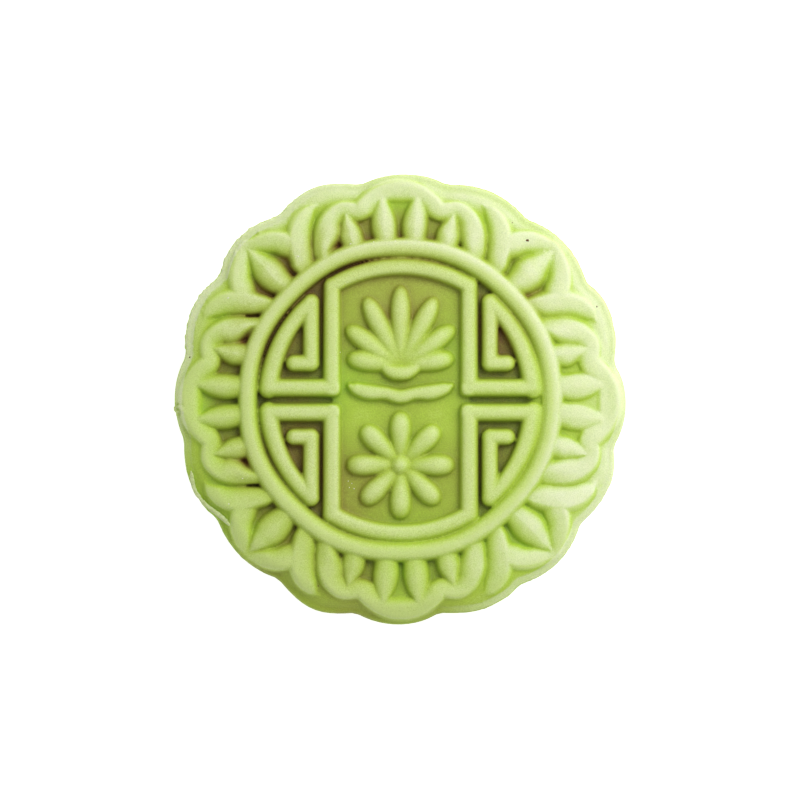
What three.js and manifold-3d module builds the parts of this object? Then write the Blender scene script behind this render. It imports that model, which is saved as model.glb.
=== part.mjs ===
// A pressed mooncake of soft, pale green rice dough, in one piece.
// It is a low drum with sixteen lobes round its side. Its moulded top has a round frame with four corner frets
// and a tall panel inside it, and a border of leaves under arches outside it. The panel holds a lotus blossom
// over an open bloom. Units are millimetres, +Z is up, and the origin is the centre of the flat base.

import * as THREE from "three";
import { mergeVertices } from "three/addons/utils/BufferGeometryUtils.js";
import Module from "manifold-3d";

const wasm = await Module();
wasm.setup();

// Driving dimensions of the drum
const RADIUS = 39; // over the lobes
const LOBES = 16;
const LOBE_DEPTH = 1.3; // from a lobe's crown in to the valley beside it
const HEIGHT = 30; // base to the crest of the round frame
const RELIEF = 2.3; // floor of the moulded top to that crest
const FLOOR = HEIGHT - RELIEF;
const STEPS_PER_LOBE = 6;

// The round frame, and the frets and panel inside it
const FRAME = { radius: 26.1, half: 1.7 };
const BAR_HALF = 1.42; // half the width of a fret bar at its foot
const BAR_CREST = HEIGHT - 0.15;
const FRET_RADIUS = 23; // crest line of the bars that run along the frame
const PANEL_X = 11.9; // crest line of the panel's upright bars
const SPLIT_Y = 2.05; // crest line of the level bars above and below the middle
const INNER_X = 15.4; // crest line of the fret's inner upright
const HOOK = { x: 18.4, y: 6.35 }; // where the fret's hook ends

// The border slopes down from the frame to the rim.
const BORDER_CREST = HEIGHT - 0.55; // crest of the border beside the frame
const BORDER_FALL = 0.019; // fall of that crest, per mm squared from the frame's foot

// Ridges are a dome on upright sides, sunk into the drum so that they join it.
const SUNK = FLOOR - 2.4;
const DOME_ANGLES = [180, 122, 58, 0]; // corners of the faceted dome, in degrees round its half circle

const degrees = THREE.MathUtils.degToRad;
const polar = (angle, radius) => new THREE.Vector2(radius * Math.cos(angle), radius * Math.sin(angle));

// Joins closed loops of equal point count into a solid's surface, with a fan over each end.
function loft(loops) {
  const count = loops[0].length;
  const corners = loops.flat();
  const faces = [];
  for (let loop = 0; loop + 1 < loops.length; loop++) {
    for (let k = 0; k < count; k++) {
      const a = loop * count + k;
      const b = loop * count + ((k + 1) % count);
      faces.push(a, b, b + count, a, b + count, a + count);
    }
  }
  const last = (loops.length - 1) * count;
  for (const [first, turned] of [[0, true], [last, false]]) {
    const hub = corners.length;
    const rim = corners.slice(first, first + count);
    corners.push(rim.reduce((sum, p) => sum.add(p), new THREE.Vector3()).divideScalar(count));
    for (let k = 0; k < count; k++) {
      const pair = [first + k, first + ((k + 1) % count)];
      faces.push(hub, ...(turned ? pair.reverse() : pair));
    }
  }
  const geometry = new THREE.BufferGeometry().setFromPoints(corners);
  geometry.setIndex(faces);
  return geometry;
}

// Radius of the lobed outline at an angle: each lobe is one arc, and neighbours meet in a valley.
function outline(angle) {
  const halfPitch = Math.PI / LOBES;
  const valley = RADIUS - LOBE_DEPTH;
  const arcCentre = (RADIUS ** 2 - valley ** 2) / (2 * (RADIUS - valley * Math.cos(halfPitch)));
  const arcRadius = RADIUS - arcCentre;
  const across = THREE.MathUtils.euclideanModulo(angle + halfPitch, 2 * halfPitch) - halfPitch;
  return arcCentre * Math.cos(across) + Math.sqrt(arcRadius ** 2 - (arcCentre * Math.sin(across)) ** 2);
}

// The drum: its levels run up the side, over the rim's lip and crease, and in to the floor of the moulded top.
function drum() {
  const levels = [
    { z: 0, inset: 0.9 },
    { z: 0.9, inset: 0.1 },
    { z: FLOOR - 3.1, inset: 0 },
    { z: FLOOR - 1.9, inset: 0.4 },
    { z: FLOOR - 1.5, inset: 0.8 }, // top of the lip
    { z: FLOOR - 1.75, inset: 1.1 }, // the crease inside it
    { z: FLOOR - 1.45, inset: 1.4 },
    { z: FLOOR - 0.5, inset: 4.2 },
    { z: FLOOR, round: FRAME.radius + 3 },
  ];
  const steps = LOBES * STEPS_PER_LOBE;
  const loops = levels.map(({ z, inset, round }) =>
    Array.from({ length: steps }, (_, step) => {
      const angle = (2 * Math.PI * step) / steps;
      const at = polar(angle, round ?? outline(angle) - inset);
      return new THREE.Vector3(at.x, at.y, z);
    }),
  );
  return loft(loops);
}

// The round frame is a lathed ring with a domed top.
function frame() {
  const top = DOME_ANGLES.map((angle) => {
    const turn = degrees(angle);
    const x = FRAME.radius + FRAME.half * Math.cos(turn);
    return new THREE.Vector2(x, HEIGHT - FRAME.half * (Math.sin(degrees(DOME_ANGLES[1])) - Math.sin(turn)));
  }).reverse();
  const foot = [-1, 1].map((side) => new THREE.Vector2(FRAME.radius + side * FRAME.half, SUNK));
  const profile = [foot[1], ...top, foot[0], foot[1]];
  return new THREE.LatheGeometry(profile, 60).rotateX(Math.PI / 2);
}

// Direction across a line of stations at one of them, longer at a bend so that the ridge keeps its width.
function across(stations, i) {
  const before = stations[Math.max(i - 1, 0)];
  const after = stations[Math.min(i + 1, stations.length - 1)];
  const here = stations[i];
  const into = new THREE.Vector2().subVectors(here, before).normalize();
  const out = new THREE.Vector2().subVectors(after, here).normalize();
  const along = new THREE.Vector2().addVectors(into, out).normalize();
  const mitre = i === 0 || i === stations.length - 1 ? 1 : 1 / along.dot(out);
  return new THREE.Vector2(-along.y, along.x).multiplyScalar(mitre);
}

// A ridge along stations, each with x, y, half (its half width at the foot) and crest (its height).
function ridge(stations) {
  const flatTop = Math.sin(degrees(DOME_ANGLES[1]));
  const loops = stations.map((station, i) => {
    const side = across(stations, i).multiplyScalar(station.half);
    const corner = (share, z) => new THREE.Vector3(station.x + side.x * share, station.y + side.y * share, z);
    const dome = DOME_ANGLES.map((angle) => {
      const turn = degrees(angle);
      return corner(-Math.cos(turn), station.crest - station.half * (flatTop - Math.sin(turn)));
    });
    return [corner(1, SUNK), ...dome, corner(-1, SUNK)];
  });
  return loft(loops);
}

// Points [x, y] along an arc about the origin.
function arc(radius, from, to, pieces) {
  const angles = Array.from({ length: pieces + 1 }, (_, i) => THREE.MathUtils.lerp(from, to, i / pieces));
  return angles.map((angle) => polar(angle, radius).toArray());
}

// The two points that cut a corner short by a reach along each of its sides.
function softCorner(before, corner, after, reach = 0.95) {
  const at = new THREE.Vector2(...corner);
  return [before, after].map((end) => {
    const toward = new THREE.Vector2(...end).sub(at).setLength(reach);
    return toward.add(at).toArray();
  });
}

// A level bar through points of [x, y], each with a half width where it is narrower than usual.
function bar(points) {
  return ridge(points.map(([x, y, half = BAR_HALF]) => ({ x, y, half, crest: BAR_CREST })));
}

// The frets and the panel. One quarter's two bars are laid out for +X and +Y, then mirrored by their signs.
function frets() {
  const topAngle = Math.acos(PANEL_X / FRET_RADIUS);
  const apexAngle = Math.acos(INNER_X / FRET_RADIUS);
  const apexY = FRET_RADIUS * Math.sin(apexAngle);
  const curve = arc(FRET_RADIUS, apexAngle, Math.asin(4.2 / FRET_RADIUS), 5);
  const outerCorner = polar(Math.asin(SPLIT_Y / FRET_RADIUS), FRET_RADIUS).toArray();
  const panelCorner = [PANEL_X, SPLIT_Y];
  const hook = [
    [HOOK.x + 1.1, HOOK.y, 0.7],
    [HOOK.x + 0.5, HOOK.y, 1.25],
    ...softCorner([HOOK.x, HOOK.y], [INNER_X, HOOK.y], [INNER_X, apexY]),
    [INNER_X, apexY + 0.9],
  ];
  const sweep = [
    ...curve,
    ...softCorner(curve.at(-1), outerCorner, panelCorner),
    panelCorner,
    [PANEL_X, FRET_RADIUS * Math.sin(topAngle) + 0.7],
  ];
  const bars = [];
  for (const [sx, sy] of [[1, 1], [-1, 1], [-1, -1], [1, -1]]) {
    for (const line of [hook, sweep]) {
      bars.push(bar(line.map(([x, y, half]) => [sx * x, sy * y, half])));
    }
  }
  for (const middle of [90, 270]) {
    const reach = Math.PI / 2 - topAngle + 0.03;
    bars.push(bar(arc(FRET_RADIUS, degrees(middle) - reach, degrees(middle) + reach, 8)));
  }
  return bars;
}

// Border motifs, repeated in each quarter. Points are [degrees, radius, half width] from the motif's own axis.
// A single motif stands at each of its axes. A paired one is mirrored about its axis, and an arched one crosses
// it, its points given from the crown down to one foot.
const BORDER = {
  longLeaf: { axes: [5, -5], pieces: 3, points: [[0, 27.2, 1.85], [0, 29.8, 2.05], [0, 32.6, 1.3], [0, 34.9, 0.15]] },
  shortLeaf: { axes: [15.3, -15.3], pieces: 3, points: [[0, 27.2, 1.5], [0, 29.3, 1.65], [0, 31.2, 1], [0, 32.7, 0.15]] },
  cornerLeaf: { axes: [45], pieces: 3, points: [[0, 27.2, 2.1], [0, 30, 2.4], [0, 33, 1.6], [0, 36, 0.15]] },
  crownArch: {
    axes: [0],
    arched: true,
    pieces: 3,
    points: [[0, 35.7, 2], [5.6, 34.8, 1.8], [9.4, 33, 1.6], [11.6, 31.2, 1.3]],
  },
  cornerArch: {
    axes: [45],
    arched: true,
    pieces: 4,
    points: [[0, 36, 1.5], [3.4, 35.1, 1.6], [6, 33.4, 1.6], [7.6, 31.4, 1.3], [8.6, 29, 0.8]],
  },
  sideArch: {
    axes: [0],
    paired: true,
    pieces: 6,
    points: [[11, 31.8, 1.5], [13, 32.8, 1.6], [16.2, 33.2, 1.75], [20.2, 32, 1.8], [23.4, 30.2, 1.75], [25.6, 27.6, 1.6]],
  },
  blade: {
    axes: [0],
    paired: true,
    pieces: 6,
    points: [[34, 27.4, 1.3], [32.4, 30.4, 1.75], [30.3, 32.6, 2], [27.7, 34.4, 1.85], [24.8, 35.8, 1.2], [21.9, 36.5, 0.2]],
  },
};

// Stations along a smooth line through points of [x, y, half width].
function smooth(points, pieces, crestAt) {
  const curve = new THREE.CatmullRomCurve3(points.map((p) => new THREE.Vector3(...p)), false, "centripetal");
  return curve.getPoints(pieces).map(({ x, y, z }) => ({ x, y, half: z, crest: crestAt(Math.hypot(x, y)) }));
}

function border() {
  const crestAt = (radius) => BORDER_CREST - BORDER_FALL * (radius - FRAME.radius - FRAME.half) ** 2;
  const ridges = [];
  for (let quarter = 0; quarter < 4; quarter++) {
    for (const { axes, paired, arched, pieces, points } of Object.values(BORDER)) {
      const mirrored = points.map(([angle, radius, half]) => [-angle, radius, half]);
      const whole = [...mirrored.slice(1).reverse(), ...points];
      const lines = arched ? [whole] : paired ? [points, mirrored] : [points];
      for (const axis of axes) {
        for (const line of lines) {
          const placed = line.map(([angle, radius, half]) => {
            const at = polar(degrees(90 * quarter + axis + angle), radius);
            return [at.x, at.y, half];
          });
          ridges.push(ridge(smooth(placed, arched ? 2 * pieces : pieces, crestAt)));
        }
      }
    }
  }
  return ridges;
}

// A teardrop ridge outwards from a centre, widest beyond its middle and rounded at its far end.
function petal({ y, angle, from, to, half }) {
  const outward = polar(degrees(angle), 1);
  const swell = [[0, 0.4], [0.66, 1], [0.9, 0.75], [1, 0.25]];
  const stations = swell.map(([share, width]) => {
    const distance = THREE.MathUtils.lerp(from, to, share);
    return { x: outward.x * distance, y: y + outward.y * distance, half: half * width, crest: BAR_CREST - 0.2 };
  });
  return ridge(stations);
}

// The panel's ornament: a lotus blossom seen from the side, over a bloom seen from above.
const BLOSSOM = { y: 5.6, spread: 26, lengths: [14.4, 13.6, 11.9, 9.6], half: 1.75 };
const WATER_LINE = { y: 1.7, reach: 8.8, dip: 0.7, half: 1.25 };
const BLOOM = { y: -11.2, petals: 8, from: 2.6, to: 9.4, half: 2, boss: 1.95 };

function ornament() {
  const level = () => BAR_CREST - 0.2;
  const strokes = [];
  BLOSSOM.lengths.forEach((length, rank) => {
    for (const side of rank === 0 ? [1] : [1, -1]) {
      const angle = 90 + side * rank * BLOSSOM.spread;
      strokes.push(petal({ y: BLOSSOM.y, angle, from: 0.9, to: length, half: BLOSSOM.half }));
    }
  });
  const { y, reach, dip, half } = WATER_LINE;
  const right = [[0, y - dip, half * 0.8], [reach * 0.7, y, half], [reach, y + dip, half * 0.4]];
  const left = right.slice(1).map(([px, py, width]) => [-px, py, width]);
  strokes.push(ridge(smooth([...left.reverse(), ...right], 6, level)));
  for (let k = 0; k < BLOOM.petals; k++) {
    const angle = 90 + (360 * k) / BLOOM.petals;
    strokes.push(petal({ y: BLOOM.y, angle, from: BLOOM.from, to: BLOOM.to, half: BLOOM.half }));
  }
  const boss = new THREE.SphereGeometry(BLOOM.boss, 12, 6).rotateX(Math.PI / 2);
  strokes.push(boss.translate(0, BLOOM.y, FLOOR));
  return strokes;
}

// A three.js geometry as a manifold-3d solid, and back.
function solid(geometry) {
  geometry.deleteAttribute("normal");
  geometry.deleteAttribute("uv");
  const merged = mergeVertices(geometry, 1e-3);
  const mesh = new wasm.Mesh({
    numProp: 3,
    vertProperties: merged.attributes.position.array,
    triVerts: new Uint32Array(merged.index.array),
  });
  return new wasm.Manifold(mesh);
}

function geometryOf(manifold) {
  const { vertProperties, triVerts } = manifold.getMesh();
  const geometry = new THREE.BufferGeometry();
  geometry.setAttribute("position", new THREE.BufferAttribute(vertProperties, 3));
  geometry.setIndex(new THREE.BufferAttribute(triVerts, 1));
  geometry.computeVertexNormals();
  return geometry;
}

const relief = [frame(), ...frets(), ...border(), ...ornament()];
const cake = relief.reduce((whole, piece) => whole.add(solid(piece)), solid(drum()));

const dough = new THREE.MeshStandardMaterial({ color: 0xc3d98a, roughness: 0.62, metalness: 0 });
const mooncake = new THREE.Mesh(geometryOf(cake), dough);
mooncake.name = "mooncake";

const group = new THREE.Group();
group.add(mooncake);
export default group;
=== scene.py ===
import math
import bpy
import numpy as np
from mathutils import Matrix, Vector, noise
from mathutils.bvhtree import BVHTree


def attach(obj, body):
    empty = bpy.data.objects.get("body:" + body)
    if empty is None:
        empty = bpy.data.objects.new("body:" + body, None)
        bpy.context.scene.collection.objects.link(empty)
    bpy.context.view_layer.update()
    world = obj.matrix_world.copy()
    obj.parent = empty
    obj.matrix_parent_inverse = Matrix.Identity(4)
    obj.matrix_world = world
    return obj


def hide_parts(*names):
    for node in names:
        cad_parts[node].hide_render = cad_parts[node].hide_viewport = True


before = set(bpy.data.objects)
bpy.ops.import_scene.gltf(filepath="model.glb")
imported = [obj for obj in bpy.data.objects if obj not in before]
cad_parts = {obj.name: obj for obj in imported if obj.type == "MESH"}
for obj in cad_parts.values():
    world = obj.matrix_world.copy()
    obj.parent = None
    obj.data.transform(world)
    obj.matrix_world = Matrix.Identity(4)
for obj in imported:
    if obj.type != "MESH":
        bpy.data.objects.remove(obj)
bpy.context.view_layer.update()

# A mooncake pressed from pale green rice dough. It is modelled in millimetres, +Z up, base at z = 0,
# and brought down to metres before it takes the place of the plain one.
toMetres = 0.001


def pick(*objects):
    bpy.ops.object.select_all(action='DESELECT')
    for ob in objects:
        ob.select_set(True)
    bpy.context.view_layer.objects.active = objects[0]


def joined(objects, name):
    pick(*objects)
    bpy.ops.object.join()
    whole = bpy.context.object
    whole.name = name
    return whole


def mirroredCopy(ob, flipX=1, flipY=1):
    pick(ob)
    bpy.ops.object.duplicate()
    copy = bpy.context.object
    copy.scale = (flipX, flipY, 1)
    bpy.ops.object.transform_apply(location=True, rotation=True, scale=True)
    bpy.ops.object.mode_set(mode='EDIT')
    bpy.ops.mesh.select_all(action='SELECT')
    bpy.ops.mesh.flip_normals()
    bpy.ops.object.mode_set(mode='OBJECT')
    return copy


def finishWith(ob, kind, **settings):
    pick(ob)
    mod = ob.modifiers.new(kind.title(), kind)
    for key, value in settings.items():
        setattr(mod, key, value)
    bpy.ops.object.modifier_apply(modifier=mod.name)


def bringDown(ob):
    # from millimetres to metres
    pick(ob)
    ob.scale = (toMetres,) * 3
    bpy.ops.object.transform_apply(location=False, rotation=False, scale=True)
    bpy.ops.object.shade_smooth()


def readAll(ob, what):
    # three numbers in a row for each vertex
    values = np.empty(len(ob.data.vertices) * 3)
    ob.data.vertices.foreach_get(what, values)
    return values.reshape(-1, 3)


def ease(value, start, end):
    t = np.clip((value - start) / (end - start), 0, 1)
    return t * t * (3 - 2 * t)


def roundAbout(angle, rows):
    # rows are spaced evenly all round, from east by north
    turns = (np.degrees(angle) % 360) * len(rows) / 360
    low = np.floor(turns).astype(int) % len(rows)
    part = ease(turns % 1, 0, 1)[:, None]
    return rows[low] * (1 - part) + rows[(low + 1) % len(rows)] * part


# The cake's body: levels of [z, inset from the outline], from the foot round the lip and up to the floor
# of the moulded top
body = {
    "radius": 39.0,
    "lobes": 16,
    "lobeDepth": 1.3,
    "stepsPerLobe": 12,
    "outlineSteps": 720,
    "turn": -1.0,
    # [degrees, how far to either side, outward]
    "bulges": [[132, 42, 0.42], [226, 30, -0.38], [50, 50, 0.36], [309, 22, 0.25], [284, 10, -0.3],
               [90, 170, 0.08], [27, 9, 0.42], [12, 6, -0.3], [80, 9, 0.22], [112, 9, 0.32],
               [145, 7, -0.36], [126, 5, -0.22], [190, 6, 0.2], [210, 6, 0.3], [247, 9, 0.34],
               [300, 6, 0.22], [340, 7, 0.2]],
    "levels": [
        [0.0, 1.4], [0.35, 0.7], [1.2, 0.2], [4.0, 0.0], [12.0, -0.1], [20.0, 0.0], [25.6, 0.03],
        [27.0, 0.06], [27.52, 0.2], [27.77, 0.45], [27.83, 0.78], [27.77, 1.06], [27.9, 1.35],
        [28.12, 1.85], [28.25, 2.6], [28.21, 3.5], [28.0, 4.5], [27.8, 5.3], [27.66, 6.2], [27.62, 8.0],
    ],
    "floor": 27.6,
    "floorRadius": 26.0,
}


def lobeRadius(angle):
    half = math.pi / body["lobes"]
    valley = body["radius"] - body["lobeDepth"]
    centre = (body["radius"] ** 2 - valley ** 2) / (2 * (body["radius"] - valley * math.cos(half)))
    arc = body["radius"] - centre
    across = (angle + half) % (2 * half) - half
    return centre * math.cos(across) + math.sqrt(arc ** 2 - (centre * math.sin(across)) ** 2)


def bulge(angle):
    # soft dough isn't as round as its mould
    out = 0
    for at, span, amount in body["bulges"]:
        away = (math.degrees(angle) - at + 180) % 360 - 180
        out += amount * math.cos(math.pi / 2 * min(abs(away) / span, 1)) ** 2
    return out


def insetOf(radius, angle):
    # how far each spot lies inside the outline
    turns = np.linspace(0, 2 * math.pi, body["outlineSteps"] + 1)
    outline = [lobeRadius(turn - math.radians(body["turn"])) + bulge(turn) for turn in turns]
    return np.interp(angle % (2 * math.pi), turns, outline) - radius


def makeBody():
    steps = body["lobes"] * body["stepsPerLobe"]
    bpy.ops.mesh.primitive_circle_add(vertices=steps, radius=1, fill_type='NGON')
    cake = bpy.context.object
    cake.name = "cakeBody"
    for vertex in cake.data.vertices:
        angle = math.atan2(vertex.co.y, vertex.co.x)
        vertex.co *= lobeRadius(angle - math.radians(body["turn"])) + bulge(angle)
    levels = body["levels"]
    bpy.ops.object.mode_set(mode='EDIT')
    bpy.ops.mesh.select_all(action='SELECT')
    size = body["radius"] - levels[0][1]
    bpy.ops.transform.resize(value=(size / body["radius"],) * 2 + (1,))
    for (low, _), (z, inset) in zip(levels, levels[1:]):
        bpy.ops.mesh.extrude_region_move(TRANSFORM_OT_translate={"value": (0, 0, z - low)})
        grow = (body["radius"] - inset) / size
        bpy.ops.transform.resize(value=(grow, grow, 1))
        size = body["radius"] - inset
    rest = body["floor"] - levels[-1][0]
    bpy.ops.mesh.extrude_region_move(TRANSFORM_OT_translate={"value": (0, 0, rest)})
    grow = body["floorRadius"] / size
    bpy.ops.transform.resize(value=(grow, grow, 1))
    bpy.ops.mesh.select_all(action='SELECT')
    bpy.ops.mesh.normals_make_consistent(inside=False)
    bpy.ops.object.mode_set(mode='OBJECT')
    return cake


# Sections of the moulded strokes, a unit wide each side of the middle: how high the crest stands, how deep
# the foot lies and how full the inner and the outer side are. The ring's sides change places, as it runs
# clockwise. What most sections share is how upright the foot is, how broad the crest is, how far it leans to
# the outside, how sharp a keel it carries and how flat the underside is.
usual = {"hip": 0.98, "crown": 0.55, "lean": 0.0, "keel": 0.0, "sole": 0.4}
sections = {
    "bar": {"rise": 0.8, "foot": 0.45, "full": (0.9, 0.9)},
    "ring": {"rise": 0.8, "foot": 0.45, "full": (0.9, 0.76)},
    "leaf": {"rise": 0.68, "foot": 0.3, "full": (0.9, 0.9), "hip": 0.95, "crown": 0.5, "keel": 0.07},
    "band": {"rise": 0.5, "foot": 0.3, "full": (0.9, 0.4), "lean": 0.4},
    "petal": {"rise": 0.8, "foot": 0.4, "full": (0.85, 0.85), "crown": 0.5, "keel": 0.02},
}
# how far the strokes reach down into the dough, so that no thin end hangs over its ground
rooted = 5.0
strokeSteps = 6


def makeSection(name):
    s = {**usual, **sections[name]}
    rise, foot, lean, keel = s["rise"], -s["foot"], s["lean"], s["keel"]
    inner, outer = [foot + full * (rise - foot) for full in s["full"]]
    bpy.ops.curve.primitive_bezier_circle_add(radius=1)
    shape = bpy.context.object
    shape.name = name + "Section"
    hip, crown, sole, low = s["hip"], s["crown"], s["sole"], foot - rooted
    # inner foot, crest, outer foot and underside, each with the handle before it and the one after
    spots = [
        ((-1, foot), (-1, (foot + low) / 2), (-hip, inner)),
        ((lean, rise), (lean - crown * (1 + lean), rise - keel), (lean + crown * (1 - lean), rise - keel)),
        ((1, foot), (hip, outer), (1, (foot + low) / 2)),
        ((0, low), (sole, low), (-sole, low)),
    ]
    for point, places in zip(shape.data.splines[0].bezier_points, spots):
        point.handle_left_type = point.handle_right_type = 'FREE'
        point.co, point.handle_left, point.handle_right = [Vector((*spot, 0)) for spot in places]
    return shape


def stroke(name, points, shapes, kind):
    # points are [x, y, height of the crest, half width], with the degrees rolled over where they are
    bpy.ops.curve.primitive_bezier_curve_add()
    ob = bpy.context.object
    ob.name = name
    curve = ob.data
    spline = curve.splines[0]
    spline.bezier_points.add(len(points) - 2)
    for spot, (x, y, crest, half, *roll) in zip(spline.bezier_points, points):
        spot.co = (x, y, crest - half * sections[kind]["rise"])
        spot.radius = half
        spot.tilt = math.radians(sum(roll))
        spot.handle_left_type = spot.handle_right_type = 'AUTO'
    spline.radius_interpolation = 'CARDINAL'
    curve.dimensions = '3D'
    curve.resolution_u = strokeSteps
    curve.twist_mode = 'Z_UP'
    curve.bevel_mode = 'OBJECT'
    curve.bevel_object = shapes[kind]
    curve.use_fill_caps = True
    pick(ob)
    bpy.ops.object.convert(target='MESH')
    return bpy.context.object


# Straight and round bars: the round frame, the four corner frets and the panel. Half widths run from east
# round by north for the ring, and are the upper and the lower one for the arcs.
medallion = {
    "ringRadius": 26.24, "ringCrest": 30.0, "ringShift": [-0.1, 0.08], "ringSteps": 48,
    "ringHalf": [1.93, 1.94, 1.74, 1.67, 1.7, 1.88, 1.86, 1.92],
    "crest": 29.75, "past": 0.5, "barHalf": 1.62, "hookHalf": 1.5,
    "arcHalf": [1.9, 1.86], "panelArcHalf": [1.53, 1.7], "arcPieces": 8,
    "arcRadius": 22.84, "panelArcRadius": 22.97, "panelX": 11.82, "splitY": 2.13,
    "innerX": 15.4, "hookX": 18.3, "hookY": 6.35,
    "panelBed": 28.0, "bedInset": 0.6, "bedDeep": 6.0, "bedSteps": 96,
    # where a straight bar has its points, and the rounding past a bar's end
    "barShares": (0, 0.2, 0.5, 0.8, 1), "endShares": (0.25, 0.5, 0.7, 0.85, 0.94, 0.985),
}


def barPoints(line, halves, past, sharp):
    # a bar closed by round ends, half a width past its corners; a sharp end stays broad for longer
    rise, crest = sections["bar"]["rise"], medallion["crest"]
    first, last = halves
    rows = [[x, y, crest, first + (last - first) * i / (len(line) - 1)] for i, (x, y) in enumerate(line)]

    def ending(tip, inner, isSharp):
        away = (Vector(tip[:2]) - Vector(inner[:2])).normalized()
        half = tip[3]
        ends = []
        for t in medallion["endShares"]:
            width = math.sqrt(1 - t * t)
            reach = (past + (1 - past) * t if isSharp else t) * half
            ends.append([tip[0] + away.x * reach, tip[1] + away.y * reach,
                         crest - half * rise * (1 - width), half * width])
        return ends
    return ending(rows[0], rows[1], sharp[0])[::-1] + rows + ending(rows[-1], rows[-2], sharp[1])


def arcLine(radius, start, end):
    pieces = medallion["arcPieces"]
    angles = [start + (end - start) * i / pieces for i in range(pieces + 1)]
    return [[radius * math.cos(a), radius * math.sin(a)] for a in angles]


def straightLine(start, end):
    return [[start[0] + (end[0] - start[0]) * t, start[1] + (end[1] - start[1]) * t]
            for t in medallion["barShares"]]


def makeRing(shapes):
    m = medallion
    bpy.ops.curve.primitive_bezier_circle_add(radius=m["ringRadius"])
    ring = bpy.context.object
    bpy.ops.object.mode_set(mode='EDIT')
    bpy.ops.curve.select_all(action='SELECT')
    bpy.ops.curve.subdivide()
    bpy.ops.object.mode_set(mode='OBJECT')
    for spot in ring.data.splines[0].bezier_points:
        eighth = round(math.degrees(math.atan2(spot.co.y, spot.co.x)) / 45) % 8
        half = m["ringHalf"][eighth]
        drop = m["ringCrest"] - half * sections["ring"]["rise"]
        for place in (spot.co, spot.handle_left, spot.handle_right):
            place += Vector((*m["ringShift"], drop))
        spot.radius = half
    ring.data.splines[0].radius_interpolation = 'CARDINAL'
    ring.data.resolution_u = m["ringSteps"]
    ring.data.twist_mode = 'Z_UP'
    ring.data.bevel_mode = 'OBJECT'
    ring.data.bevel_object = shapes["ring"]
    pick(ring)
    bpy.ops.object.convert(target='MESH')
    return bpy.context.object


def makeFrets(shapes):
    m = medallion
    apex = math.acos(m["innerX"] / m["arcRadius"])
    outer = math.asin(m["splitY"] / m["arcRadius"])
    top = math.acos(m["panelX"] / m["panelArcRadius"])
    hookEnd, hookCorner = [m["hookX"], m["hookY"]], [m["innerX"], m["hookY"]]
    apexCorner = [m["innerX"], m["arcRadius"] * math.sin(apex)]
    outerCorner = [m["arcRadius"] * math.cos(outer), m["splitY"]]
    panelFoot, panelTop = [m["panelX"], m["splitY"]], [m["panelX"], m["panelArcRadius"] * math.sin(top)]
    bar, hook = m["barHalf"], m["hookHalf"]
    pieces = []
    for side, arc, panelArc in zip((1, -1), m["arcHalf"], m["panelArcHalf"]):
        # each bar's line, its half width at either end and which end is sharp
        bars = [
            (straightLine(hookEnd, hookCorner), (hook, hook), (False, False)),
            (straightLine(hookCorner, apexCorner), (hook, hook), (False, False)),
            (arcLine(m["arcRadius"], apex, outer), (hook, arc), (False, False)),
            (straightLine(outerCorner, panelFoot), (bar, bar), (False, True)),
            (straightLine(panelFoot, panelTop), (bar, panelArc), (True, False)),
        ]
        strokes = []
        for line, halves, sharp in bars:
            line = [[x, side * y] for x, y in line]
            strokes.append(stroke("fretBar", barPoints(line, halves, m["past"], sharp), shapes, "bar"))
        quarter = joined(strokes, "fretQuarter")
        pieces += [quarter, mirroredCopy(quarter, flipX=-1)]
    return pieces


def makePanelArcs(shapes):
    m = medallion
    top = math.acos(m["panelX"] / m["panelArcRadius"])
    arcs = []
    for start, half in zip((top, top + math.pi), m["panelArcHalf"]):
        line = arcLine(m["panelArcRadius"], start, start + math.pi - 2 * top)
        arcs.append(stroke("panelArc", barPoints(line, (half, half), 0, (False, False)), shapes, "bar"))
    return arcs


def makePanelBed():
    # the panel's ground lies higher than that of the frets
    m = medallion
    bpy.ops.mesh.primitive_cylinder_add(
        vertices=m["bedSteps"], radius=m["panelArcRadius"] - m["bedInset"], depth=m["bedDeep"],
        location=(0, 0, m["panelBed"] - m["bedDeep"] / 2))
    bed = bpy.context.object
    bed.name = "panelBed"
    bpy.ops.object.transform_apply(location=True)
    bpy.ops.object.mode_set(mode='EDIT')
    for side in (1, -1):
        bpy.ops.mesh.select_all(action='SELECT')
        bpy.ops.mesh.bisect(plane_co=(side * m["panelX"], 0, 0), plane_no=(side, 0, 0), use_fill=True,
                            clear_outer=True)
    bpy.ops.object.mode_set(mode='OBJECT')
    return bed


def makeMedallion(shapes):
    return [makeRing(shapes)] + makeFrets(shapes) + makePanelArcs(shapes) + [makePanelBed()]


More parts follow.
